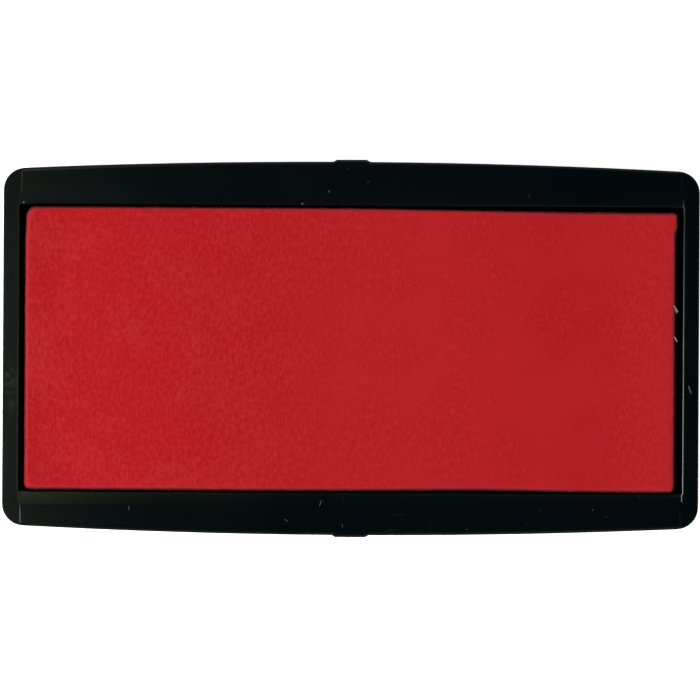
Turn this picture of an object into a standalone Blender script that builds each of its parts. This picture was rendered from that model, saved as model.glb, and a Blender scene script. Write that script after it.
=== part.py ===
"""Replacement ink cassette for a self-inking stamp: a moulded tray, and the inked felt fixed in its pocket.

The origin is the centre of the tray's outline on the face that it rests on. +X runs along the cassette's length,
+Y across it, and +Z out of the inked face. Units are metres.
"""

import math

import bmesh
import bpy

# Tray outline
TRAY_LENGTH = 0.0697
TRAY_MID_WIDTH = 0.0374
SIDE_BOW = 0.00088
CORNER_RADIUS = 0.0022
CATCH_FOOT_WIDTH = 0.0037
CATCH_TOP_WIDTH = 0.0030
CATCH_PROUD = 0.0002

# Tray heights above the rest face
FLOOR_TOP = 0.0016
RAIL_TOP = 0.0069
STRIP_TOP = 0.0070
RIM_ROUND = 0.00040

# Pocket, and the strips and rails around it
POCKET_LENGTH = 0.06626
POCKET_WIDTH = 0.02866
POCKET_OFFSET_Y = -0.00008
STRIP_LENGTH = 0.06608
STRIP_END_ROUND = 0.00008
STRIP_FALL_WIDTH = 0.0020
STRIP_FALL_DEPTH = 0.00035
STRIP_EDGE_ROUND = 0.00012
RAIL_INNER_ROUND = 0.00025

# Underside panel and the marks that the mould's ejector pins leave in it
PANEL_LENGTH = 0.0600
PANEL_WIDTH = 0.0262
PANEL_DEPTH = 0.0004
PANEL_CORNER_RADIUS = 0.0020
EJECTOR_RADIUS = 0.0015
EJECTOR_DEPTH = 0.00012
EJECTOR_X = 0.0240
EJECTOR_Y = 0.0085

# Felt: the clearances to the pocket's walls, and the heights of the layers
GAP_LEFT = 0.00053
GAP_RIGHT = 0.00077
GAP_BACK_LEFT = 0.00026
GAP_BACK_RIGHT = 0.00050
GAP_FRONT = 0.00032
FACE_CORNER_RADII = (0.0005, 0.0005, 0.0009, 0.0005)
RESERVOIR_INSET = 0.00015
FILM_INSET = 0.0012
LAYER_CLEARANCE = 0.00015
FILM_THICKNESS = 0.0002
FACE_THICKNESS = 0.0010
FACE_TOP = 0.00725

CUT_MARGIN = 0.002
BOW_STEPS = 8
FALL_STEPS = 8
CORNER_STEPS = 8
ROUND_STEPS = 6
MERGE_DISTANCE = 0.000001


def clear_scene():
    for obj in list(bpy.data.objects):
        bpy.data.objects.remove(obj, do_unlink=True)


def new_collection(name):
    collection = bpy.data.collections.new(name)
    bpy.context.scene.collection.children.link(collection)
    return collection


def new_material(name, colour, roughness, metallic=0.0):
    material = bpy.data.materials.new(name)
    material.use_nodes = True
    shader = material.node_tree.nodes["Principled BSDF"]
    shader.inputs["Base Color"].default_value = (*colour, 1.0)
    shader.inputs["Roughness"].default_value = roughness
    shader.inputs["Metallic"].default_value = metallic
    return material


def black_plastic():
    return new_material("black_moulded_plastic", (0.008, 0.010, 0.011), 0.28)


def red_face_felt():
    return new_material("red_face_felt", (0.45, 0.014, 0.018), 0.72)


def red_reservoir_felt():
    return new_material("red_reservoir_felt", (0.30, 0.008, 0.011), 0.85)


def clear_film():
    return new_material("adhesive_film", (0.72, 0.68, 0.58), 0.35)


def arc(centre, radius, start, end, steps):
    """Points along an arc, ends included, with angles in radians."""
    points = []
    for step in range(steps + 1):
        angle = start + (end - start) * step / steps
        points.append((centre[0] + radius * math.cos(angle), centre[1] + radius * math.sin(angle)))
    return points


def tray_quarter():
    """The outline from the middle of the +X end round to the catch's top corner on the +Y side."""
    half_length = TRAY_LENGTH / 2
    half_mid = TRAY_MID_WIDTH / 2
    bow_radius = (half_length**2 + SIDE_BOW**2) / (2 * SIDE_BOW)
    bow_centre_y = half_mid - bow_radius
    corner_x = half_length - CORNER_RADIUS
    corner_y = bow_centre_y + math.sqrt((bow_radius - CORNER_RADIUS) ** 2 - corner_x**2)
    tangent = math.atan2(corner_y - bow_centre_y, corner_x)
    foot = math.acos(CATCH_FOOT_WIDTH / 2 / bow_radius)
    corner = arc((corner_x, corner_y), CORNER_RADIUS, 0.0, tangent, CORNER_STEPS)
    side = arc((0.0, bow_centre_y), bow_radius, tangent, foot, BOW_STEPS)
    catch = [(CATCH_TOP_WIDTH / 2, half_mid + CATCH_PROUD)]
    return corner + side[1:] + catch


def tray_outline():
    quarter = tray_quarter()
    back = quarter + [(-x, y) for x, y in reversed(quarter)]
    return back + [(-x, -y) for x, y in back]


def rounded_polygon(corners, radii):
    """A counter-clockwise polygon with each of its convex corners turned into an arc."""
    points = []
    for index, (x, y) in enumerate(corners):
        before = corners[index - 1]
        after = corners[(index + 1) % len(corners)]
        heading_in = math.atan2(y - before[1], x - before[0])
        heading_out = math.atan2(after[1] - y, after[0] - x)
        turn = (heading_out - heading_in) % (2 * math.pi)
        setback = radii[index] * math.tan(turn / 2)
        start_angle = heading_in - math.pi / 2
        centre = (
            x - setback * math.cos(heading_in) + radii[index] * math.cos(heading_in + math.pi / 2),
            y - setback * math.sin(heading_in) + radii[index] * math.sin(heading_in + math.pi / 2),
        )
        points += arc(centre, radii[index], start_angle, start_angle + turn, ROUND_STEPS)
    return points


def rectangle_corners(length, width):
    return [
        (length / 2, -width / 2),
        (length / 2, width / 2),
        (-length / 2, width / 2),
        (-length / 2, -width / 2),
    ]


def felt_corners(inset):
    """The felt's four corners: it is cut a little out of square and lies nearer the -X end of its pocket."""
    half_length = POCKET_LENGTH / 2
    back = POCKET_OFFSET_Y + POCKET_WIDTH / 2
    front = POCKET_OFFSET_Y - POCKET_WIDTH / 2
    right = half_length - GAP_RIGHT - inset
    left = -half_length + GAP_LEFT + inset
    return [
        (right, front + GAP_FRONT + inset),
        (right, back - GAP_BACK_RIGHT - inset),
        (left, back - GAP_BACK_LEFT - inset),
        (left, front + GAP_FRONT + inset),
    ]


def extruded(name, outline, thickness, collection):
    """A closed mesh object of a flat outline, extruded half its thickness to each side of its own XY plane."""
    curve = bpy.data.curves.new(name, "CURVE")
    curve.dimensions = "2D"
    curve.fill_mode = "BOTH"
    curve.extrude = thickness / 2
    spline = curve.splines.new("POLY")
    spline.points.add(len(outline) - 1)
    for point, (x, y) in zip(spline.points, outline):
        point.co = (x, y, 0.0, 1.0)
    spline.use_cyclic_u = True
    drawn = bpy.data.objects.new(name, curve)
    collection.objects.link(drawn)
    evaluated = drawn.evaluated_get(bpy.context.evaluated_depsgraph_get())
    mesh = bpy.data.meshes.new_from_object(evaluated)
    bpy.data.objects.remove(drawn, do_unlink=True)
    bpy.data.curves.remove(curve)
    weld_and_flatten(mesh)
    mesh.name = name
    solid = bpy.data.objects.new(name, mesh)
    collection.objects.link(solid)
    return solid


def weld_and_flatten(mesh):
    """Joins the loose caps to the sides, makes each cap one face, and turns the faces outwards."""
    cage = bmesh.new()
    cage.from_mesh(mesh)
    bmesh.ops.remove_doubles(cage, verts=cage.verts, dist=MERGE_DISTANCE)
    bmesh.ops.dissolve_limit(
        cage, angle_limit=math.radians(0.01), verts=cage.verts, edges=cage.edges
    )
    bmesh.ops.recalc_face_normals(cage, faces=cage.faces)
    cage.to_mesh(mesh)
    cage.free()


def layer(name, outline, bottom, top, collection):
    """A flat piece between two heights."""
    solid = extruded(name, outline, top - bottom, collection)
    solid.location.z = (bottom + top) / 2
    return solid


def round_edges(obj, width, segments):
    """Rounds the rims where the flat faces meet the upright ones, and leaves the outline's own corners alone."""
    bevel = obj.modifiers.new("rounded_rims", "BEVEL")
    bevel.width = width
    bevel.segments = segments
    bevel.limit_method = "ANGLE"
    bevel.angle_limit = math.radians(70)
    return bevel


def shade_round(obj):
    obj.data.shade_smooth()
    obj.data.set_sharp_from_angle(angle=math.radians(35))


def hide_cutter(obj):
    obj.hide_render = True
    obj.display_type = "WIRE"
    return obj


def combine(obj, other, operation):
    boolean = obj.modifiers.new(operation.lower() + "_" + other.name, "BOOLEAN")
    boolean.operation = operation
    boolean.solver = "EXACT"
    boolean.object = other


def cut(obj, cutter):
    combine(obj, cutter, "DIFFERENCE")


def box_cutter(name, size, centre, collection):
    bpy.ops.mesh.primitive_cube_add(size=1.0, location=centre)
    cutter = bpy.context.active_object
    cutter.name = name
    cutter.scale = size
    bpy.ops.object.transform_apply(location=False, rotation=False, scale=True)
    for owner in list(cutter.users_collection):
        owner.objects.unlink(cutter)
    collection.objects.link(cutter)
    return hide_cutter(cutter)


def bar_cutter(name, profile, length, heading, collection):
    """A bar whose profile lies in an upright plane through the pocket's centre. The profile's first coordinate
    runs outwards along the heading, an angle about +Z, and its second runs up."""
    cutter = extruded(name, profile, length, collection)
    cutter.location = (0.0, POCKET_OFFSET_Y, 0.0)
    cutter.rotation_euler = (math.pi / 2, 0.0, heading)
    return hide_cutter(cutter)


def round_over_profile(edge, level, radius):
    """What is taken off the upper edge of a wall to round it: the wall stands from `edge` outwards."""
    centre = (edge + radius, level - radius)
    return [
        (edge - CUT_MARGIN, level + CUT_MARGIN),
        (edge - CUT_MARGIN, level - radius),
        *arc(centre, radius, math.pi, math.pi / 2, ROUND_STEPS),
        (edge + radius, level + CUT_MARGIN),
    ]


def fall_profile(edge, level, width, depth, radius):
    """What is taken off the top of a wall so that it curves down to its inner edge, with that edge rounded."""
    sweep = (width**2 + depth**2) / (2 * depth)
    steepest = math.asin((width - radius) / (sweep - radius))
    crown = (edge + width, level - sweep)
    corner = (crown[0] - (sweep - radius) * math.sin(steepest), crown[1] + (sweep - radius) * math.cos(steepest))
    return [
        (edge - CUT_MARGIN, level + CUT_MARGIN),
        (edge - CUT_MARGIN, corner[1]),
        *arc(corner, radius, math.pi, math.pi / 2 + steepest, ROUND_STEPS),
        *arc(crown, sweep, math.pi / 2 + steepest, math.pi / 2, FALL_STEPS)[1:],
        (edge + width, level + CUT_MARGIN),
    ]


def flared_profile(end, level, radius):
    """The strips' length seen from the front, widening upwards so that the rails beyond keep a rounded edge."""
    centre = (end + radius, level - radius)
    right = arc(centre, radius, math.pi, math.pi / 2, ROUND_STEPS) + [(end + radius, level + CUT_MARGIN)]
    left = [(-x, z) for x, z in reversed(right)]
    return [(-end, FLOOR_TOP), (end, FLOOR_TOP), *right, *left]


def rail_profile():
    """What is taken off each end to lower its rail, which leaves the strips with a rounded end edge."""
    end = STRIP_LENGTH / 2
    beyond = TRAY_LENGTH / 2 + CUT_MARGIN
    centre = (end - STRIP_END_ROUND, STRIP_TOP - STRIP_END_ROUND)
    return [
        (beyond, RAIL_TOP),
        (beyond, STRIP_TOP + CUT_MARGIN),
        (end - STRIP_END_ROUND, STRIP_TOP + CUT_MARGIN),
        *arc(centre, STRIP_END_ROUND, math.pi / 2, 0.0, ROUND_STEPS),
        (end, RAIL_TOP),
    ]


def cut_rails(tray, cutters):
    width = TRAY_MID_WIDTH + 2 * CUT_MARGIN
    for side, heading in (("right", 0.0), ("left", math.pi)):
        cut(tray, bar_cutter("rail_step_" + side, rail_profile(), width, heading, cutters))


def cut_pocket(tray, cutters):
    height = STRIP_TOP + CUT_MARGIN - FLOOR_TOP
    centre = (0.0, POCKET_OFFSET_Y, FLOOR_TOP + height / 2)
    cut(tray, box_cutter("pocket", (POCKET_LENGTH, POCKET_WIDTH, height), centre, cutters))


def curve_strips(tray, cutters):
    """The strips curve down to the pocket until they lie lower than the rails beyond their ends."""
    fall = fall_profile(POCKET_WIDTH / 2, STRIP_TOP, STRIP_FALL_WIDTH, STRIP_FALL_DEPTH, STRIP_EDGE_ROUND)
    flared = flared_profile(STRIP_LENGTH / 2, RAIL_TOP, RAIL_INNER_ROUND)
    reach = bar_cutter("strip_reach", flared, TRAY_MID_WIDTH, 0.0, cutters)
    for side, heading in (("back", math.pi / 2), ("front", -math.pi / 2)):
        curve = bar_cutter("strip_fall_" + side, fall, TRAY_LENGTH, heading, cutters)
        combine(curve, reach, "INTERSECT")
        cut(tray, curve)


def round_rail_edges(tray, cutters):
    profile = round_over_profile(POCKET_LENGTH / 2, RAIL_TOP, RAIL_INNER_ROUND)
    for side, heading in (("right", 0.0), ("left", math.pi)):
        cut(tray, bar_cutter("rail_round_" + side, profile, POCKET_WIDTH, heading, cutters))


def cut_underside(tray, cutters):
    corners = rectangle_corners(PANEL_LENGTH, PANEL_WIDTH)
    outline = rounded_polygon(corners, [PANEL_CORNER_RADIUS] * 4)
    cut(tray, hide_cutter(layer("underside_panel", outline, -CUT_MARGIN, PANEL_DEPTH, cutters)))
    circle = arc((0.0, 0.0), EJECTOR_RADIUS, 0.0, 2 * math.pi, 24)[:-1]
    for across in (-1, 1):
        for along in (-1, 1):
            name = f"ejector_mark_{across + 1}{along + 1}"
            mark = layer(name, circle, -CUT_MARGIN, PANEL_DEPTH + EJECTOR_DEPTH, cutters)
            mark.location.x = along * EJECTOR_X
            mark.location.y = across * EJECTOR_Y
            cut(tray, hide_cutter(mark))


def make_tray(parts, cutters):
    tray = layer("cassette_tray", tray_outline(), 0.0, STRIP_TOP, parts)
    round_edges(tray, RIM_ROUND, 4).use_clamp_overlap = False
    cut_rails(tray, cutters)
    cut_underside(tray, cutters)
    cut_pocket(tray, cutters)
    curve_strips(tray, cutters)
    round_rail_edges(tray, cutters)
    shade_round(tray)
    tray.data.materials.append(black_plastic())


def make_film(parts):
    bottom = FLOOR_TOP + LAYER_CLEARANCE
    outline = rounded_polygon(felt_corners(FILM_INSET), FACE_CORNER_RADII)
    film = layer("adhesive_film", outline, bottom, bottom + FILM_THICKNESS, parts)
    film.data.materials.append(clear_film())


def make_reservoir(parts):
    bottom = FLOOR_TOP + FILM_THICKNESS + 2 * LAYER_CLEARANCE
    top = FACE_TOP - FACE_THICKNESS - LAYER_CLEARANCE
    outline = rounded_polygon(felt_corners(RESERVOIR_INSET), FACE_CORNER_RADII)
    reservoir = layer("pad_reservoir", outline, bottom, top, parts)
    shade_round(reservoir)
    reservoir.data.materials.append(red_reservoir_felt())


def make_face(parts):
    outline = rounded_polygon(felt_corners(0.0), FACE_CORNER_RADII)
    face = layer("pad_face", outline, FACE_TOP - FACE_THICKNESS, FACE_TOP, parts)
    shade_round(face)
    face.data.materials.append(red_face_felt())


def main():
    clear_scene()
    parts = new_collection("ink_pad_cassette")
    cutters = new_collection("cutters")
    make_tray(parts, cutters)
    make_film(parts)
    make_reservoir(parts)
    make_face(parts)


main()
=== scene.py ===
import math
import random

import bmesh
import bpy
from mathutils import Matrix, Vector, noise


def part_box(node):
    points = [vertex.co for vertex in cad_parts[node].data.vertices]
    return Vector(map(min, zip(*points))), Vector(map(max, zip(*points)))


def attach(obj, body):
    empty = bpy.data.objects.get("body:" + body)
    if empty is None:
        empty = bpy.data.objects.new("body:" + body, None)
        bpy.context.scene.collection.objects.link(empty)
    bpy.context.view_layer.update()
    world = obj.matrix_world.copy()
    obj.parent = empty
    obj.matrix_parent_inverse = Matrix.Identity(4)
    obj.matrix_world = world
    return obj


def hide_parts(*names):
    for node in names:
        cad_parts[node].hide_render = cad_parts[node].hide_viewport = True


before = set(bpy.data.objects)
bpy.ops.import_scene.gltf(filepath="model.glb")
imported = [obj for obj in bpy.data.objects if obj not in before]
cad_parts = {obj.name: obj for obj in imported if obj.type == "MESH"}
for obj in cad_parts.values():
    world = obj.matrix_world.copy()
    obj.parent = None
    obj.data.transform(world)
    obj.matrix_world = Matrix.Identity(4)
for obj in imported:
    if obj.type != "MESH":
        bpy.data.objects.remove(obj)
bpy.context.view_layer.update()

# An ink cassette lying on a pale table: its black tray, the inked felt in the tray's pocket, and the fibres
# and lint on them. +X runs along the cassette, +Y across it, and +Z out of the felt's face, to the camera.

MM = 0.001

# The pocket's middle, and how far from it the pocket and the wider opening over it reach, with a little to
# spare. Then the curve on which each long strip falls to the pocket: where it starts, from the same middle,
# how wide it is, its radius, and its last stretch, the strip's rounded edge, which leans more.
POCKET_MIDDLE_Y = -0.08 * MM
POCKET_REACH = Vector((33.30 * MM, 14.42 * MM))
OPENING_REACH = Vector((33.45 * MM, 16.40 * MM))
FALL_START = 16.33 * MM
FALL_REACH = 1.93 * MM
FALL_RADIUS = 5.889 * MM
FALL_EDGE_START = 1.75 * MM
FALL_EDGE_LEAN = 0.12

# How the tray's facets are told apart: a level one by the Z of its normal, one that runs straight along an
# axis by how little of its normal lies on that axis, and one at the tray's very top by its height.
# Neighbours that meet at less than SMOOTH_ANGLE stand for one smooth surface.
LEVEL = 0.9999
SQUARE = 0.001
SMOOTH_ANGLE = math.radians(35)
WELD_DISTANCE = 0.0005 * MM
FLAT_ANGLE = math.radians(0.05)
TOP_EDGE_HEIGHT = 6.895 * MM

# The way that some tiny facets are shaded to face. It is chosen so that they catch the light as bright
# lines, and isn't the way that they lie. The first is for the strips' left-hand end edges and for the
# top of the right-hand rail's lip, and the second for the left-hand rail's lip.
TOP_EDGE_FACING = Vector((-0.225, -0.02, 0.97)).normalized()
LEFT_LIP_FACING = Vector((-0.035, 0.0, 1.0)).normalized()

# The tray's finishes, copies of one black plastic: name, least and greatest roughness, and specular level.
# The second reflects nothing at all, as painted shade. The third is rougher and reflects less, partly as
# painted shade.
TRAY_FINISHES = (
    ("satin_black_plastic", 0.16, 0.185, 0.5),
    ("shade_painted_black_plastic", 0.50, 0.60, 0.0),
    ("rubbed_and_shaded_black_plastic", 0.28, 0.34, 0.22),
)
SATIN, PAINTED_SHADE, RUBBED_AND_SHADED = range(len(TRAY_FINISHES))

# The radii of the felt's corners, anticlockwise from the front left.
CORNER_RADII = (0.55 * MM, 0.45 * MM, 0.45 * MM, 1.0 * MM)

# Where the felt's cut edges leave the box of its CAD solid: how far, and between which places.
BACK_EDGE_PROUD = 0.02 * MM
BACK_EDGE_DROP = 0.34 * MM
BACK_DROP_SPAN = (-4.0 * MM, 28.0 * MM)
FRONT_EDGE_PROUD = 0.09 * MM
FRONT_HOLLOW = 0.16 * MM
FRONT_HOLLOW_PLACE = (12.0 * MM, 9.0 * MM)
RIGHT_BULGE = 0.21 * MM
RIGHT_BULGE_SPAN = (12.0 * MM, 12.6 * MM)
LEFT_HOLLOW = 0.12 * MM
LEFT_HOLLOW_SPAN = (10.0 * MM, 14.0 * MM)

# The felt layers' meshes: the rounding of their upper edges, their grids' spacing, the steps down their
# sides, and how far the soaked reservoir swells.
FACE_EDGE_ROUND = 0.40 * MM
FACE_STEP = 0.2 * MM
FACE_WALL_STEP = 0.22 * MM
RESERVOIR_EDGE_ROUND = 0.15 * MM
RESERVOIR_STEP = 0.6 * MM
RESERVOIR_WALL_STEP = 0.5 * MM
RESERVOIR_SWELL = 0.25 * MM
EDGE_ARC_STEPS = 7
EDGE_DISTANCE = "edge_distance"

# How the face's red changes along X: between which places in millimetres, how much of a tint there is at
# each, and the tint.
FACE_TINTS = (
    (-26.0, -6.0, 0.4, 0.0, (0.310, 0.0016, 0.0046)),
    (-14.0, 4.0, 0.0, 1.0, (0.290, 0.0048, 0.0078)),
    (24.0, 31.0, 0.0, 0.5, (0.306, 0.0052, 0.0080)),
    (-33.0, -25.0, 0.8, 0.0, (0.245, 0.0003, 0.0022)),
)

# Fibres that the cutting left along the felt's edge, and the pale tufts at its right-hand edge: where each
# tuft starts and ends, x and y, and its radius, in millimetres.
FUZZ_COUNT = 300
TUFTS = (
    ((32.20, 4.50), (32.72, 3.78), 0.060),
    ((32.28, 1.40), (32.64, 0.78), 0.070),
)
TUFT_STRANDS = 5
FIBRE_STEPS = 6

# Lint on the tray: x, y, z, length, heading in degrees and radius, in millimetres.
LINT = (
    (-4.93, 14.45, 6.78, 0.22, 20.0, 0.090),
    (-32.84, 14.45, 6.77, 0.24, 60.0, 0.105),
    (-2.26, 15.69, 6.98, 0.26, 112.0, 0.040),
    (-2.95, -15.52, 6.95, 0.80, 70.0, 0.032),
    (-0.76, -17.70, 7.00, 0.40, 100.0, 0.024),
    (-22.13, -16.11, 6.99, 0.40, 94.0, 0.040),
    (-6.39, -17.21, 7.00, 0.36, -38.0, 0.034),
    (33.93, -4.05, 6.91, 1.15, -76.0, 0.055),
)

# The floor, and the camera: straight above AIM, where its frame is FRAME_WIDTH wide, and rolled a little.
FLOOR_SIZE = 6.0
FLOOR_GLOW = 0.5
LENS_MM = 200.0
SENSOR_MM = 36.0
FRAME_WIDTH = 70.0 * MM
ROLL = math.radians(0.34)
AIM = Vector((-0.09 * MM, -0.15 * MM, 7.0 * MM))
OBJECT_MIDDLE = Vector((0.0, 0.0, 5.0 * MM))


# ---------------------------------------------------------------- node helpers


class Shader:
    """A material with its node tree, and short ways to add and join nodes."""

    def __init__(self, name):
        self.material = bpy.data.materials.new(name)
        self.material.use_nodes = True
        self.tree = self.material.node_tree
        self.surface = self.tree.nodes["Principled BSDF"]
        self.position = self.tree.nodes.new("ShaderNodeTexCoord").outputs["Object"]

    def node(self, kind, **settings):
        made = self.tree.nodes.new(kind)
        for key, value in settings.items():
            setattr(made, key, value)
        return made

    def put(self, source, socket):
        if hasattr(source, "is_output"):
            self.tree.links.new(source, socket)
        else:
            socket.default_value = source

    def scaled(self, scale, turn=(0.0, 0.0, 0.0)):
        """The place on the object, scaled and turned, for a pattern that is longer one way than the other."""
        mapping = self.node("ShaderNodeMapping")
        self.put(self.position, mapping.inputs["Vector"])
        mapping.inputs["Scale"].default_value = scale
        mapping.inputs["Rotation"].default_value = turn
        return mapping.outputs["Vector"]

    def noise(self, scale, detail=2.0, roughness=0.5, vector=None, distortion=0.0):
        made = self.node("ShaderNodeTexNoise")
        self.put(vector or self.position, made.inputs["Vector"])
        made.inputs["Scale"].default_value = scale
        made.inputs["Detail"].default_value = detail
        made.inputs["Roughness"].default_value = roughness
        made.inputs["Distortion"].default_value = distortion
        return made.outputs["Fac"]

    def specks(self, scale, channel, share, largest):
        """1 inside round specks and 0 around them. Only a share of the pattern's cells holds a speck."""
        cells = self.node("ShaderNodeTexVoronoi")
        self.put(self.position, cells.inputs["Vector"])
        cells.inputs["Scale"].default_value = scale
        chance = self.node("ShaderNodeSeparateColor")
        self.put(cells.outputs["Color"], chance.inputs["Color"])
        radius = self.span(chance.outputs[channel], 1.0 - share, 1.0, 0.0, largest)
        return self.math("LESS_THAN", cells.outputs["Distance"], radius)

    def math(self, operation, first, second=0.0, clamp=False):
        made = self.node("ShaderNodeMath", operation=operation, use_clamp=clamp)
        self.put(first, made.inputs[0])
        self.put(second, made.inputs[1])
        return made.outputs["Value"]

    def span(self, value, low, high, out_low=0.0, out_high=1.0):
        """A value's range mapped smoothly on to another, and held at its ends."""
        made = self.node("ShaderNodeMapRange", interpolation_type="SMOOTHSTEP", clamp=True)
        self.put(value, made.inputs["Value"])
        made.inputs["From Min"].default_value = low
        made.inputs["From Max"].default_value = high
        made.inputs["To Min"].default_value = out_low
        made.inputs["To Max"].default_value = out_high
        return made.outputs["Result"]

    def mix(self, share, first, second):
        made = self.node("ShaderNodeMix", data_type="RGBA")
        self.put(share, made.inputs["Factor"])
        self.put(first, made.inputs[6])
        self.put(second, made.inputs[7])
        return made.outputs[2]

    def axis(self, letter):
        made = self.node("ShaderNodeSeparateXYZ")
        self.put(self.position, made.inputs["Vector"])
        return made.outputs[letter]

    def bump(self, height, strength, distance):
        made = self.node("ShaderNodeBump")
        self.put(height, made.inputs["Height"])
        made.inputs["Strength"].default_value = strength
        made.inputs["Distance"].default_value = distance
        return made.outputs["Normal"]


def rgb(colour):
    return (*colour, 1.0)


# ---------------------------------------------------------------- materials


def tray_plastic(name, least_rough, most_rough, specular_level):
    """Black moulded plastic: fine orange peel, hairline scratches, dust specks, and an olive smear that is
    partly grease and partly a painted reflection.
    """
    s = Shader(name)
    peel = s.noise(900.0, detail=3.0, roughness=0.55)
    cloud = s.noise(60.0, detail=3.0)

    long_hairs = s.noise(1.0, detail=1.0, vector=s.scaled((260.0, 9000.0, 400.0), turn=(0, 0, 0.25)))
    cross_hairs = s.noise(1.0, detail=1.0, vector=s.scaled((7000.0, 220.0, 400.0), turn=(0, 0, 0.5)))
    patches = s.noise(150.0, detail=1.0)
    hairs = s.math("MAXIMUM", s.span(long_hairs, 0.70, 0.80), s.span(cross_hairs, 0.70, 0.80))
    hairs = s.math("MULTIPLY", hairs, s.span(patches, 0.52, 0.68))

    fine_dust = s.math("MULTIPLY", s.specks(1500.0, "Green", 0.20, 0.10), s.span(cloud, 0.45, 0.7))
    dust = s.math("MAXIMUM", s.specks(420.0, "Red", 0.10, 0.035), s.math("MULTIPLY", fine_dust, 0.45))

    black = s.mix(s.span(cloud, 0.3, 0.7), rgb((0.0001, 0.0003, 0.0004)), rgb((0.0003, 0.0005, 0.0006)))
    # A greasy smear on the left-hand rail, in olive: partly dirt, and partly a painted reflection of the
    # light on the left.
    smudge_and_reflection_spot = s.node("ShaderNodeVectorMath", operation="DISTANCE")
    s.put(s.scaled((1.0, 0.32, 1.0)), smudge_and_reflection_spot.inputs[0])
    smudge_and_reflection_spot.inputs[1].default_value = (-34.0 * MM, -1.3 * MM, 6.8 * MM)
    smudge_and_reflection = s.span(smudge_and_reflection_spot.outputs["Value"], 0.3 * MM, 1.1 * MM, 0.6, 0.0)
    smudge_and_reflection = s.math("MULTIPLY", smudge_and_reflection, s.span(s.noise(1400.0), 0.35, 0.65))
    body = s.mix(smudge_and_reflection, black, rgb((0.020, 0.018, 0.010)))
    s.put(s.mix(dust, body, rgb((0.03, 0.032, 0.034))), s.surface.inputs["Base Color"])

    rough = s.span(cloud, 0.3, 0.7, least_rough, most_rough)
    rough = s.math("ADD", rough, s.math("MULTIPLY", hairs, 0.15))
    rough = s.math("ADD", rough, s.math("MULTIPLY", dust, 0.5), clamp=True)
    s.put(rough, s.surface.inputs["Roughness"])
    s.surface.inputs["IOR"].default_value = 1.46
    s.surface.inputs["Specular IOR Level"].default_value = specular_level

    height = s.math("ADD", peel, s.math("MULTIPLY", hairs, -1.2))
    height = s.math("ADD", height, s.math("MULTIPLY", dust, 4.0))
    s.put(s.bump(height, 0.35, 0.006 * MM), s.surface.inputs["Normal"])
    return s.material


def face_felt():
    """Damp red felt with a calendered skin. Short paler fibre tips stand out of it, mostly towards -X and
    near the +X edge; their paleness is partly a painted glint of light on the wet fibres. The cut rim has a
    frayed painted highlight along its crest, and painted shade where it turns down."""
    s = Shader("red_calendered_felt")
    across = s.axis("X")
    tips = s.noise(1.0, detail=2.0, roughness=0.55, vector=s.scaled((3200.0, 1850.0, 1500.0)), distortion=0.3)
    fine = s.noise(6500.0, detail=1.0)
    patch = s.noise(170.0, detail=2.0)
    broad = s.noise(55.0, detail=1.0)

    # How thickly the paler fibre tips lie: most towards -X, on the key light's side, and near the +X edge.
    plenty = s.span(across, -15.0 * MM, 1.0 * MM, 0.78, 0.45)
    plenty = s.math("ADD", plenty, s.span(across, 8.0 * MM, 26.0 * MM, 0.0, -0.36))
    plenty = s.math("ADD", plenty, s.span(across, 23.0 * MM, 30.0 * MM, 0.0, 0.72))
    plenty = s.math("ADD", plenty, s.span(patch, 0.35, 0.65, -0.19, 0.19), clamp=True)
    least = s.math("SUBTRACT", 0.60, s.math("MULTIPLY", plenty, 0.30))
    shown = s.node("ShaderNodeMapRange", clamp=True)
    s.put(tips, shown.inputs["Value"])
    s.put(least, shown.inputs["From Min"])
    shown.inputs["From Max"].default_value = 0.85
    grain = s.math("MULTIPLY", shown.outputs["Result"], s.math("ADD", 0.48, s.math("MULTIPLY", plenty, 0.45)))

    ground = s.mix(s.span(broad, 0.3, 0.7), rgb((0.258, 0.0003, 0.0024)), rgb((0.274, 0.0005, 0.0030)))
    for start, end, share_before, share_after, tint in FACE_TINTS:
        ground = s.mix(s.span(across, start * MM, end * MM, share_before, share_after), ground, rgb(tint))
    ground = s.mix(s.span(patch, 0.3, 0.7, 0.0, 0.5), ground, rgb((0.250, 0.0003, 0.0022)))
    # The tips' paler, less saturated red: partly real fibres, and partly a painted glint.
    ground = s.mix(grain, ground, rgb((0.340, 0.0130, 0.0160)))
    inside = s.node("ShaderNodeAttribute", attribute_name=EDGE_DISTANCE).outputs["Fac"]
    # A painted highlight along the rounded crest of the cut rim, paler and pinker, broken up by fine noise.
    crest = s.span(inside, 0.02 * MM, 0.12 * MM)
    crest = s.math("MULTIPLY", crest, s.span(inside, 0.22 * MM, 0.42 * MM, 1.0, 0.0))
    crest = s.math("MULTIPLY", crest, s.span(fine, 0.35, 0.65, 0.35, 0.75))
    ground = s.mix(crest, ground, rgb((0.215, 0.014, 0.017)))
    # Painted shade on the felt's sides and where its edge turns down.
    turned = s.span(inside, 0.0, 0.16 * MM, 0.75, 0.0)
    ground = s.mix(turned, ground, rgb((0.060, 0.0003, 0.0008)))
    s.put(ground, s.surface.inputs["Base Color"])
    s.put(s.span(grain, 0.0, 0.8, 0.60, 0.48), s.surface.inputs["Roughness"])
    s.surface.inputs["Specular IOR Level"].default_value = 0.095
    s.surface.inputs["Sheen Weight"].default_value = 0.03
    s.surface.inputs["Sheen Roughness"].default_value = 0.5
    s.surface.inputs["Sheen Tint"].default_value = rgb((1.0, 0.4, 0.4))
    height = s.math("ADD", grain, s.math("MULTIPLY", fine, 0.12))
    s.put(s.bump(height, 0.5, 0.035 * MM), s.surface.inputs["Normal"])
    return s.material


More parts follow.
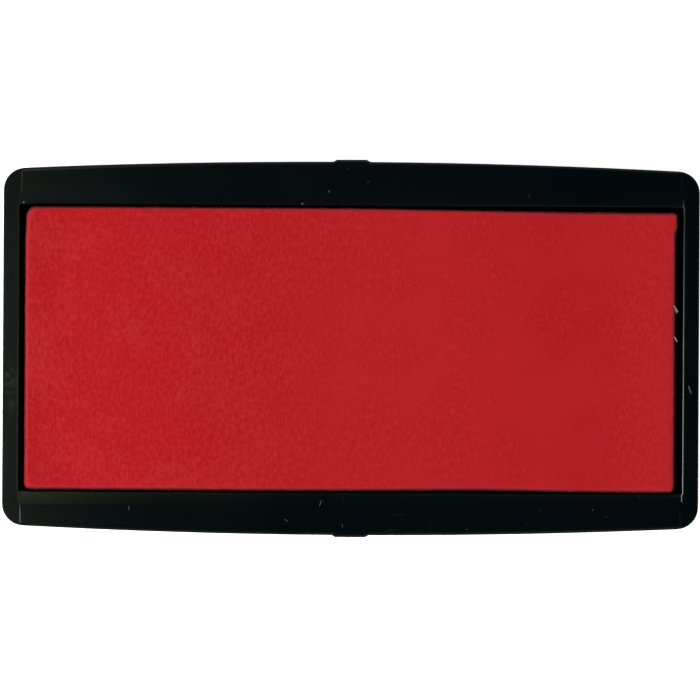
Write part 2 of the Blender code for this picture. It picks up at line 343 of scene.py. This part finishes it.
def reservoir_felt():
    """Thick felt soaked with ink: coarse matted fibres, and darker towards the bottom of the pocket."""
    s = Shader("soaked_red_felt")
    fibres = s.noise(1400.0, detail=4.0, roughness=0.65, vector=s.scaled((1.0, 1.0, 2.6)), distortion=0.8)
    clumps = s.noise(420.0, detail=2.0)
    # Darker towards the bottom of the pocket.
    height_share = s.span(s.axis("Z"), 1.8 * MM, 5.0 * MM)
    wet = s.mix(s.span(fibres, 0.3, 0.7), rgb((0.11, 0.002, 0.004)), rgb((0.24, 0.006, 0.009)))
    s.put(s.mix(height_share, rgb((0.07, 0.001, 0.003)), wet), s.surface.inputs["Base Color"])
    s.put(s.span(fibres, 0.3, 0.7, 0.45, 0.75), s.surface.inputs["Roughness"])
    s.surface.inputs["Sheen Weight"].default_value = 0.1
    s.put(s.bump(s.math("ADD", fibres, clumps), 0.7, 0.12 * MM), s.surface.inputs["Normal"])
    return s.material


def adhesive_film():
    """Thin double-sided film: pale carrier, creases, and ink that has crept in from the felt."""
    s = Shader("ink_stained_film")
    stain = s.span(s.noise(180.0, detail=4.0, roughness=0.6), 0.42, 0.60)
    crease = s.noise(1.0, detail=3.0, vector=s.scaled((300.0, 2200.0, 300.0), turn=(0, 0, 0.35)))
    pale = s.mix(s.span(crease, 0.4, 0.7), rgb((0.66, 0.60, 0.48)), rgb((0.74, 0.70, 0.60)))
    s.put(s.mix(stain, pale, rgb((0.32, 0.02, 0.025))), s.surface.inputs["Base Color"])
    s.put(s.span(stain, 0.0, 1.0, 0.30, 0.55), s.surface.inputs["Roughness"])
    s.put(s.bump(crease, 0.5, 0.02 * MM), s.surface.inputs["Normal"])
    return s.material


def fibre_material(name, dark, pale, roughness):
    s = Shader(name)
    tone = s.noise(3000.0, detail=2.0)
    s.put(s.mix(s.span(tone, 0.3, 0.7), rgb(dark), rgb(pale)), s.surface.inputs["Base Color"])
    s.put(s.span(tone, 0.3, 0.7, roughness, roughness + 0.15), s.surface.inputs["Roughness"])
    s.surface.inputs["Sheen Weight"].default_value = 0.2
    s.put(s.bump(tone, 0.3, 0.01 * MM), s.surface.inputs["Normal"])
    return s.material


def floor_material():
    """A white light table: it glows a little, so that shadows on it stay faint."""
    s = Shader("pale_studio_floor")
    tone = s.span(s.noise(6.0, detail=2.0), 0.3, 0.7)
    s.put(s.mix(tone, rgb((0.94, 0.94, 0.94)), rgb((0.96, 0.96, 0.96))), s.surface.inputs["Base Color"])
    s.surface.inputs["Roughness"].default_value = 0.9
    s.surface.inputs["Specular IOR Level"].default_value = 0.1
    s.surface.inputs["Emission Color"].default_value = rgb((1.0, 1.0, 1.0))
    s.surface.inputs["Emission Strength"].default_value = FLOOR_GLOW
    return s.material


# ---------------------------------------------------------------- felt meshes


def wave(x, y, z, size, seed):
    """Smooth noise between -1 and 1, whose features are `size` metres across."""
    return noise.noise(Vector((x / size + seed, y / size - seed * 0.7, z / size + seed * 1.3)))


def eased(value, start, end):
    """0 before start, 1 after end, and a smooth rise between them."""
    share = min(1.0, max(0.0, (value - start) / (end - start)))
    return share * share * (3.0 - 2.0 * share)


def graded(length, edge_round, step):
    """Places across a layer: closer together over the rounded edges, evenly spaced between them."""
    angles = [math.pi / 2 * i / EDGE_ARC_STEPS for i in range(EDGE_ARC_STEPS + 1)]
    near = [edge_round * (1 - math.cos(angle)) for angle in angles]
    count = max(2, round((length - 2 * edge_round) / step))
    inner = [edge_round + (length - 2 * edge_round) * i / count for i in range(1, count)]
    return near + inner + [length - d for d in reversed(near)]


class FeltLayer:
    """One layer of the cut felt: where its edges run, and the surface made from them."""

    def __init__(self, node, edge_round, step, wall_step, seed, swell=0.0):
        self.low, self.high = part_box(node)
        self.low.xy -= Vector((swell, swell))
        self.high.xy += Vector((swell, swell))
        self.edge_round = edge_round
        self.step = step
        self.wall_step = wall_step
        self.seed = seed
        self.length = self.high.x - self.low.x
        self.width = self.high.y - self.low.y

    def rounded_corner(self, a, b):
        """Pulls a point near a corner in on to concentric arcs. a and b are its distances from the left and
        front edges."""
        right = self.length - a
        back = self.width - b
        front_left, front_right, back_right, back_left = CORNER_RADII
        for x, y, radius, sign_x, sign_y in (
            (a, b, front_left, 1, 1),
            (right, b, front_right, -1, 1),
            (right, back, back_right, -1, -1),
            (a, back, back_left, 1, -1),
        ):
            if x < radius and y < radius:
                dx, dy = x - radius, y - radius
                shrink = max(abs(dx), abs(dy)) / math.hypot(dx, dy) - 1.0
                return a + sign_x * dx * shrink, b + sign_y * dy * shrink
        return a, b

    def cut_line(self, a, b):
        """How far the knife strayed, along X and along Y: all of it at an edge, none at the one across."""
        x, y = self.low.x + a, self.low.y + b
        along, across = a / self.length, b / self.width
        back = BACK_EDGE_PROUD - BACK_EDGE_DROP * eased(x, *BACK_DROP_SPAN)
        middle, reach = FRONT_HOLLOW_PLACE
        front = -FRONT_EDGE_PROUD + FRONT_HOLLOW * math.exp(-(((x - middle) / reach) ** 2))
        right = RIGHT_BULGE * eased(y, *RIGHT_BULGE_SPAN)
        left = LEFT_HOLLOW * eased(y, *LEFT_HOLLOW_SPAN)
        return right * along**8 + left * (1 - along) ** 8, back * across + front * (1 - across)

    def edge_push(self, x, y, z, inside):
        """How far the cut edge stands out of its line here, fading over about a millimetre from the edge."""
        fade = math.exp(-inside / (0.7 * MM))
        slow = 0.035 * MM * wave(x, y, 0.0, 6.0 * MM, self.seed)
        quick = 0.035 * MM * wave(x, y, z, 1.1 * MM, self.seed + 3.0)
        fluff = 0.030 * MM * wave(x, y, z, 0.45 * MM, self.seed + 5.0)
        return fade * (slow + quick + fluff)

    def place(self, a, b, drop):
        """The point of the surface that lies a from the left edge and b from the front one, and drop below
        the top's rounded edge where it is on a side."""
        inside = min(a, b, self.length - a, self.width - b)
        fall = drop
        if inside < self.edge_round:
            fall += self.edge_round - math.sqrt(self.edge_round**2 - (self.edge_round - inside) ** 2)
        across = a / self.length - 0.5
        deep = b / self.width - 0.5
        stray_x, stray_y = self.cut_line(a, b)
        a, b = self.rounded_corner(a, b)
        x = self.low.x + a + stray_x
        y = self.low.y + b + stray_y
        z = self.high.z - fall
        push = self.edge_push(x, y, z, inside)
        if abs(across) * self.length - abs(deep) * self.width > (self.length - self.width) / 2:
            x += math.copysign(push, across)
        else:
            y += math.copysign(push, deep)
        return x, y, z

    def relief(self, x, y):
        """Height of the pressed surface over its mean plane. Its fine grain is calmer towards +X."""
        broad = 0.030 * MM * wave(x, y, 0.0, 13.0 * MM, self.seed)
        mottle = 0.010 * MM * wave(x, y, 0.0, 2.2 * MM, self.seed + 1.0)
        fine = 0.011 * MM * wave(x, y * 0.65, 0.0, 0.55 * MM, self.seed + 2.0)
        calm = 1.0 - 0.6 * min(1.0, max(0.0, (x + 12.0 * MM) / (26.0 * MM)))
        return broad + mottle + calm * fine

    def build(self, name):
        across = graded(self.length, self.edge_round, self.step)
        deep = graded(self.width, self.edge_round, self.step)
        columns, rows = len(across), len(deep)
        points, distances = [], []
        for b in deep:
            for a in across:
                x, y, z = self.place(a, b, 0.0)
                inside = min(a, b, self.length - a, self.width - b)
                points.append((x, y, z + self.relief(x, y) * min(1.0, inside / (0.5 * MM))))
                distances.append(inside)
        faces = []
        for j in range(rows - 1):
            for i in range(columns - 1):
                corner = j * columns + i
                faces.append((corner, corner + 1, corner + columns + 1, corner + columns))
        rim = (
            [(i, 0) for i in range(columns - 1)]
            + [(columns - 1, j) for j in range(rows - 1)]
            + [(i, rows - 1) for i in range(columns - 1, 0, -1)]
            + [(0, j) for j in range(rows - 1, 0, -1)]
        )
        ring = [j * columns + i for i, j in rim]
        wall = self.high.z - self.edge_round - self.low.z
        wall_steps = max(2, round(wall / self.wall_step))
        for level in range(1, wall_steps + 1):
            start = len(points)
            for i, j in rim:
                points.append(self.place(across[i], deep[j], wall * level / wall_steps))
                distances.append(0.0)
            lower = list(range(start, len(points)))
            for k in range(len(ring)):
                after = (k + 1) % len(ring)
                faces.append((ring[k], lower[k], lower[after], ring[after]))
            ring = lower
        faces.append(tuple(reversed(ring)))
        mesh = bpy.data.meshes.new(name)
        mesh.from_pydata(points, [], faces)
        mesh.update()
        mesh.shade_smooth()
        mesh.attributes.new(EDGE_DISTANCE, "FLOAT", "POINT").data.foreach_set("value", distances)
        piece = bpy.data.objects.new(name, mesh)
        bpy.context.scene.collection.objects.link(piece)
        return piece


def make_face():
    layer = FeltLayer("pad_face", FACE_EDGE_ROUND, FACE_STEP, FACE_WALL_STEP, seed=11.0)
    piece = layer.build("inked_face_felt")
    piece.data.materials.append(face_felt())
    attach(piece, "root")
    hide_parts("pad_face")
    return layer


def make_reservoir():
    steps = (RESERVOIR_STEP, RESERVOIR_WALL_STEP)
    layer = FeltLayer("pad_reservoir", RESERVOIR_EDGE_ROUND, *steps, seed=23.0, swell=RESERVOIR_SWELL)
    piece = layer.build("soaked_reservoir_felt")
    piece.data.materials.append(reservoir_felt())
    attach(piece, "root")
    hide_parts("pad_reservoir")


# ---------------------------------------------------------------- fibres and dust


def tube(cage, points, radius, sides=5):
    """Adds a thin closed tube along the points, tapering to both ends."""
    rings = []
    for index, point in enumerate(points):
        before = points[max(0, index - 1)]
        after = points[min(len(points) - 1, index + 1)]
        along = (after - before).normalized()
        across = along.cross(Vector((0.31, 0.17, 0.93))).normalized()
        up = along.cross(across)
        taper = math.sin(math.pi * (0.12 + 0.76 * index / (len(points) - 1)))
        ring = []
        for side in range(sides):
            angle = 2 * math.pi * side / sides
            offset = across * math.cos(angle) + up * math.sin(angle)
            ring.append(cage.verts.new(point + offset * radius * taper))
        rings.append(ring)
    for first, second in zip(rings, rings[1:]):
        for side in range(sides):
            after = (side + 1) % sides
            cage.faces.new((first[side], first[after], second[after], second[side]))
    cage.faces.new(tuple(reversed(rings[0])))
    cage.faces.new(tuple(rings[-1]))


def curl(start, heading, length, bend, draw):
    """Points along a fibre that sets off along a heading and turns a little at each step."""
    points = [start.copy()]
    direction = heading.normalized()
    for _ in range(FIBRE_STEPS):
        sway = Vector((draw.uniform(-1, 1), draw.uniform(-1, 1), draw.uniform(-0.6, 0.6)))
        direction = (direction + sway * bend).normalized()
        points.append(points[-1] + direction * length / FIBRE_STEPS)
    return points


def finish_small(name, cage, material):
    """Turns a cage of little tubes into a piece of its own."""
    bmesh.ops.recalc_face_normals(cage, faces=cage.faces)
    mesh = bpy.data.meshes.new(name)
    cage.to_mesh(mesh)
    cage.free()
    mesh.shade_smooth()
    piece = bpy.data.objects.new(name, mesh)
    bpy.context.scene.collection.objects.link(piece)
    piece.data.materials.append(material)
    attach(piece, "root")


def make_edge_fuzz(layer):
    """Short red fibres that the cutting die left standing along the felt's edges."""
    draw = random.Random(5)
    cage = bmesh.new()
    perimeter = 2 * (layer.length + layer.width)
    for _ in range(FUZZ_COUNT):
        run = draw.uniform(0.0, perimeter)
        if run < layer.length:
            a, b, outward = run, 0.0, Vector((0, -1, 0))
        elif run < layer.length + layer.width:
            a, b, outward = layer.length, run - layer.length, Vector((1, 0, 0))
        elif run < 2 * layer.length + layer.width:
            a, b, outward = run - layer.length - layer.width, layer.width, Vector((0, 1, 0))
        else:
            a, b, outward = 0.0, run - 2 * layer.length - layer.width, Vector((-1, 0, 0))
        depth = draw.uniform(0.0, 0.25) * MM
        root = Vector(layer.place(a, b, depth)) - outward * 0.04 * MM
        spread = Vector((draw.uniform(-1.5, 1.5), draw.uniform(-1.5, 1.5), draw.uniform(-0.3, 0.5)))
        heading = outward + spread
        if heading.dot(outward) < 0.15:
            heading += outward * 0.8
        length = draw.uniform(0.08, 0.24) * MM
        tube(cage, curl(root, heading, length, 0.45, draw), draw.uniform(0.007, 0.016) * MM)
    material = fibre_material("loose_red_fibre", (0.26, 0.006, 0.010), (0.40, 0.016, 0.022), 0.55)
    finish_small("felt_edge_fuzz", cage, material)


def make_stray_fibres(layer):
    """Little tufts of uncoloured fibre that stand out from the felt's right-hand edge."""
    draw = random.Random(9)
    cage = bmesh.new()
    for start, end, radius in TUFTS:
        first = Vector((start[0] * MM, start[1] * MM, layer.high.z - 0.03 * MM))
        last = Vector((end[0] * MM, end[1] * MM, layer.high.z - 0.12 * MM))
        for _ in range(TUFT_STRANDS):
            aside = Vector((draw.uniform(-1, 1), draw.uniform(-1, 1), draw.uniform(-0.5, 0.5))) * 0.03 * MM
            span = (last - first) * draw.uniform(0.75, 1.05)
            points = curl(first + aside, span, span.length, 0.10, draw)
            tube(cage, points, radius * MM * draw.uniform(0.35, 0.6))
    material = fibre_material("uncoloured_fibre", (0.19, 0.13, 0.125), (0.26, 0.20, 0.19), 0.8)
    finish_small("stray_pale_fibres", cage, material)


def make_lint():
    """Specks and hairs of lint that have settled on the tray."""
    draw = random.Random(21)
    cage = bmesh.new()
    for x, y, z, length, heading, radius in LINT:
        along = Vector((math.cos(math.radians(heading)), math.sin(math.radians(heading)), 0.0))
        start = Vector((x, y, z)) * MM - along * length * MM / 2
        tube(cage, curl(start, along, length * MM, 0.08, draw), radius * MM, sides=8)
    material = fibre_material("grey_lint", (0.030, 0.032, 0.033), (0.060, 0.064, 0.066), 0.7)
    finish_small("settled_lint", cage, material)


# ---------------------------------------------------------------- tray


def strip_fall(point):
    """The way a strip's top faces at a point on the curve that falls to the pocket, or None elsewhere."""
    side = math.copysign(1.0, point.y - POCKET_MIDDLE_Y)
    fallen = FALL_START - side * (point.y - POCKET_MIDDLE_Y)
    if fallen < 0.0 or fallen > FALL_REACH:
        return None
    lean = fallen / FALL_RADIUS + (FALL_EDGE_LEAN if fallen > FALL_EDGE_START else 0.0)
    return Vector((0.0, -side * lean, math.sqrt(1.0 - lean * lean)))


def is_left_lip(face):
    """Whether a face is one of the gentler facets that round the left-hand rail's edge along the pocket."""
    facing = face.normal
    return abs(facing.y) < SQUARE and 0.90 < facing.z < LEVEL and face.calc_center_median().x < 0.0


def is_top_edge(face):
    """Whether a face is one of the tiny facets at the tray's top edges: those that round a strip's end, the
    small step under them, and the highest ones of the rails' lips."""
    facing = face.normal
    return abs(facing.y) < SQUARE and facing.z < LEVEL and face.calc_center_median().z > TOP_EDGE_HEIGHT


def corner_facing(face, vertex):
    """How the smooth surface that a facet stands for faces at one of its corners. Level faces stay level. The
    top edges that face -X and the left-hand lip face the way that is chosen for them."""
    if is_top_edge(face) and face.normal.x < -0.01:
        return TOP_EDGE_FACING
    if is_left_lip(face):
        return LEFT_LIP_FACING
    if abs(face.normal.x) < SQUARE and 0.945 < face.normal.z < LEVEL:
        falling = strip_fall(vertex.co)
        if falling is not None:
            return falling
    mean = Vector()
    for other in vertex.link_faces:
        if face.normal.dot(other.normal) > math.cos(SMOOTH_ANGLE):
            if abs(other.normal.z) > LEVEL:
                return other.normal.copy()
            mean += other.normal * other.calc_area()
    return mean.normalized()


def finish_of(face):
    """The finish of one of the tray's faces. The top with its gentlest edges, the outer walls and the
    underside are satin. The pocket's walls reflect nothing, as painted shade that keeps the gap black, and
    the left-hand one keeps that further over its lip. The middle of the outer rim's round reflects nothing
    too, as painted shade, and the rest of that round is rubbed: rougher, and with its reflection turned down
    as painted shade."""
    middle = face.calc_center_median()
    facing = face.normal
    if facing.z < -0.05 or facing.z > LEVEL or is_top_edge(face):
        return SATIN
    across = abs(middle.y - POCKET_MIDDLE_Y)
    if abs(middle.x) < POCKET_REACH.x and across < POCKET_REACH.y:
        # Painted shade: the pocket's walls reflect nothing, so that the gap stays black, and further up over
        # the left-hand lip.
        gentlest_shaded = 0.90 if facing.x > 0.3 else 0.70
        return PAINTED_SHADE if facing.z < gentlest_shaded else SATIN
    in_opening = abs(middle.x) < OPENING_REACH.x and across < OPENING_REACH.y
    if in_opening or facing.z < 0.02 or facing.z > 0.95:
        return SATIN
    # Painted shade on the middle of the outer rim's round, and a weaker reflection on the rest of it.
    return PAINTED_SHADE if 0.45 < facing.z < 0.76 else RUBBED_AND_SHADED


def make_tray():
    """The moulding, with its facets welded and shaded as the smooth surfaces that they stand for."""
    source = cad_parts["cassette_tray"]
    cage = bmesh.new()
    cage.from_mesh(source.data)
    bmesh.ops.remove_doubles(cage, verts=cage.verts, dist=WELD_DISTANCE)
    bmesh.ops.dissolve_limit(cage, angle_limit=FLAT_ANGLE, verts=cage.verts, edges=cage.edges)
    bmesh.ops.recalc_face_normals(cage, faces=cage.faces)
    facings = []
    for face in cage.faces:
        face.smooth = True
        face.material_index = finish_of(face)
        facings += [corner_facing(face, loop.vert) for loop in face.loops]
    mesh = bpy.data.meshes.new("moulded_tray")
    cage.to_mesh(mesh)
    cage.free()
    mesh.normals_split_custom_set(facings)
    piece = bpy.data.objects.new("moulded_tray", mesh)
    bpy.context.scene.collection.objects.link(piece)
    for finish in TRAY_FINISHES:
        piece.data.materials.append(tray_plastic(*finish))
    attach(piece, "root")
    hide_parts("cassette_tray")


def finish_film():
    """The adhesive film keeps its CAD node, with a better material."""
    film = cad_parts["adhesive_film"]
    film.material_slots[0].material = adhesive_film()


# ---------------------------------------------------------------- stage


def softbox(name, azimuth, elevation, distance, size, power, colour=(1.0, 1.0, 1.0), slide=0.0):
    """A rectangular lamp that faces the object. Azimuths are anticlockwise from +X, in degrees. It may slide
    level, clockwise as seen from above."""
    light = bpy.data.lights.new(name, "AREA")
    light.shape = "RECTANGLE"
    light.size, light.size_y = size
    light.energy = power
    light.color = colour
    lamp = bpy.data.objects.new(name, light)
    bpy.context.scene.collection.objects.link(lamp)
    turn, rise = math.radians(azimuth), math.radians(elevation)
    level = distance * math.cos(rise)
    lamp.location = (level * math.cos(turn), level * math.sin(turn), distance * math.sin(rise))
    lamp.rotation_mode = "QUATERNION"
    lamp.rotation_quaternion = (OBJECT_MIDDLE - lamp.location).to_track_quat("-Z", "Y")
    lamp.location += Vector((math.sin(turn), -math.cos(turn), 0.0)) * slide


def make_floor():
    bpy.ops.mesh.primitive_plane_add(size=FLOOR_SIZE)
    floor = bpy.context.active_object
    floor.name = "studio_floor"
    floor.data.materials.append(floor_material())


def make_world():
    """A dim, cool room: pale only just above the horizon, so that the level faces reflect little."""
    world = bpy.data.worlds.new("studio_surround")
    bpy.context.scene.world = world
    world.use_nodes = True
    tree = world.node_tree
    background = tree.nodes["Background"]
    where = tree.nodes.new("ShaderNodeTexCoord")
    split = tree.nodes.new("ShaderNodeSeparateXYZ")
    ramp = tree.nodes.new("ShaderNodeValToRGB")
    tree.links.new(where.outputs["Generated"], split.inputs["Vector"])
    tree.links.new(split.outputs["Z"], ramp.inputs["Fac"])
    tree.links.new(ramp.outputs["Color"], background.inputs["Color"])
    shades = ramp.color_ramp
    shades.interpolation = "EASE"
    shades.elements[0].position = 0.06
    shades.elements[0].color = (0.90, 0.90, 0.90, 1.0)
    shades.elements[1].position = 0.20
    shades.elements[1].color = (0.34, 0.35, 0.35, 1.0)
    for height, colour in ((0.55, (0.20, 0.23, 0.24)), (0.78, (0.001, 0.045, 0.065))):
        shades.elements.new(height).color = (*colour, 1.0)
    background.inputs["Strength"].default_value = 1.0


def make_lights():
    """A key light on the left, two dim cards that the tray's left end mirrors, and four even softboxes."""
    softbox("key_softbox", 197.0, 43.0, 0.34, (0.16, 0.12), 1.12, (0.94, 1.0, 1.0))
    softbox("glow_card_front", 176.0, 76.5, 0.45, (0.31, 0.05), 0.0495, (0.84, 1.0, 0.62), slide=-0.135)
    softbox("glow_card_back", 180.0, 76.5, 0.45, (0.44, 0.05), 0.125, (0.86, 1.0, 0.42), slide=0.285)
    for azimuth in (45.0, 135.0, 225.0, 315.0):
        softbox(f"corner_softbox_{azimuth:.0f}", azimuth, 42.0, 0.8, (0.25, 0.25), 2.0)


def make_camera():
    camera = bpy.data.cameras.new("camera")
    camera.lens = LENS_MM
    camera.sensor_width = SENSOR_MM
    camera.clip_start = 0.01
    camera.clip_end = 20.0
    holder = bpy.data.objects.new("camera", camera)
    bpy.context.scene.collection.objects.link(holder)
    distance = FRAME_WIDTH * LENS_MM / SENSOR_MM
    holder.location = AIM + Vector((0.0, 0.0, distance))
    holder.rotation_euler = (0.0, 0.0, ROLL)
    bpy.context.scene.camera = holder


make_camera()
make_tray()
finish_film()
make_reservoir()
face_layer = make_face()
make_edge_fuzz(face_layer)
make_stray_fibres(face_layer)
make_lint()
make_floor()
make_world()
make_lights()
bpy.context.scene.view_settings.view_transform = "Standard"
